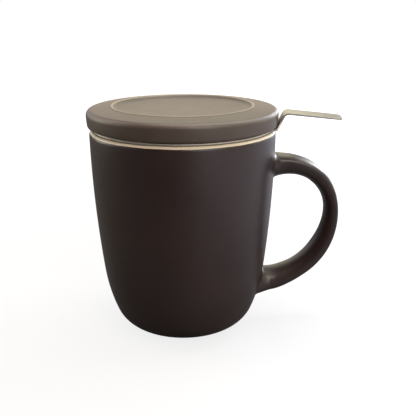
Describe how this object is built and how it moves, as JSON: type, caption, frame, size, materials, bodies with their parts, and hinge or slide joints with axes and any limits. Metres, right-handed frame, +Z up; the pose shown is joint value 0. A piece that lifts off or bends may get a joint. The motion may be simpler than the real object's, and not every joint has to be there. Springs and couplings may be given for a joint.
{
  "type": "lidded tea mug with infuser",
  "caption": "Stoneware mug with a loop handle, a lift-out steel basket infuser with a bent finger tab, and a loose dished lid that rests on the infuser's rim.",
  "frame": {"origin": "centre of the foot ring's flat underside, on the mug's axis", "axes": "+Z up along the mug's axis, +X towards the handle, +Y to the back"},
  "size_m": [0.1233, 0.0922, 0.1132],
  "materials": {
    "dark_glaze": "satin brown-black glaze",
    "lid_glaze": "satin brown-black glaze",
    "brushed_steel": "fine brushed stainless",
    "perforated_steel": "perforated stainless sheet"
  },
  "bodies": {
    "mug": {"mug_body": "dark_glaze", "mug_handle": "dark_glaze"},
    "infuser": {"infuser_rim": "brushed_steel", "infuser_collar": "brushed_steel", "infuser_wall": "perforated_steel", "infuser_base": "perforated_steel", "infuser_base_ring": "brushed_steel"},
    "lid": {"lid": "lid_glaze"}
  },
  "joints": [
    {"name": "infuser_lift", "type": "slide", "parent": "mug", "child": "infuser", "axis": [0, 0, 1], "range_m": [0, 0.1]},
    {"name": "lid_lift", "type": "slide", "parent": "infuser", "child": "lid", "axis": [0, 0, 1], "range_m": [0, 0.06]}
  ]
}
